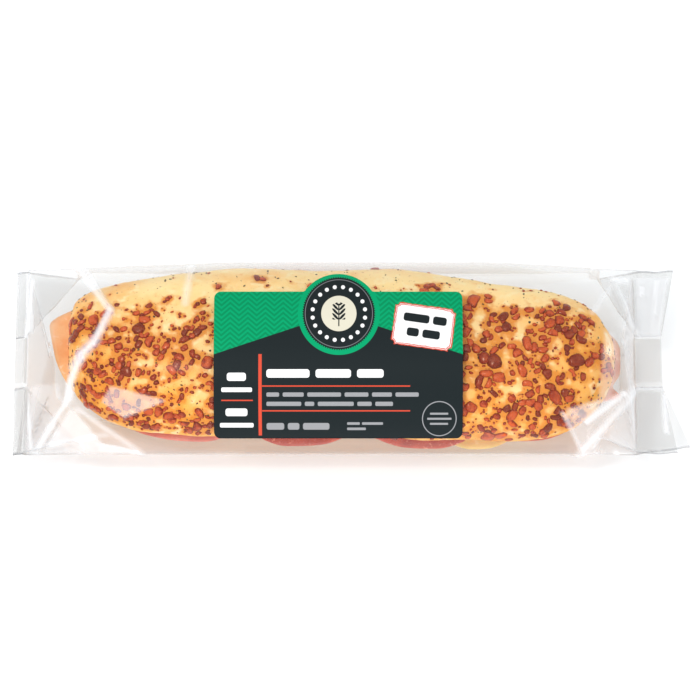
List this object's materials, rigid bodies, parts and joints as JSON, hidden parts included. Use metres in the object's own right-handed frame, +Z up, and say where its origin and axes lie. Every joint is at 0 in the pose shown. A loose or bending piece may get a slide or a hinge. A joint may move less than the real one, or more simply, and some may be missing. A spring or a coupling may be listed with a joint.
{
  "type": "submarine sandwich",
  "caption": "Long filled roll with a cheese and herb crust, sealed in a clear bag with flat tucked ends and a printed label stuck over its front.",
  "frame": {"origin": "on the surface the bag lies on, under the middle of its outer box", "axes": "+X along the bag towards its longer end seal, +Y towards its back, +Z up"},
  "size_m": [0.2474, 0.074, 0.0505],
  "materials": {
    "film": "clear thin gloss film",
    "label": "printed satin paper",
    "crust": "baked golden crust",
    "crumb": "soft white bread",
    "meat": "moist sliced meat",
    "toasted_cheese": "toasted cheese crumbs",
    "herbs": "dry herb flecks"
  },
  "bodies": {
    "root": {"bag": "film", "label": "label"}
  },
  "joints": []
}
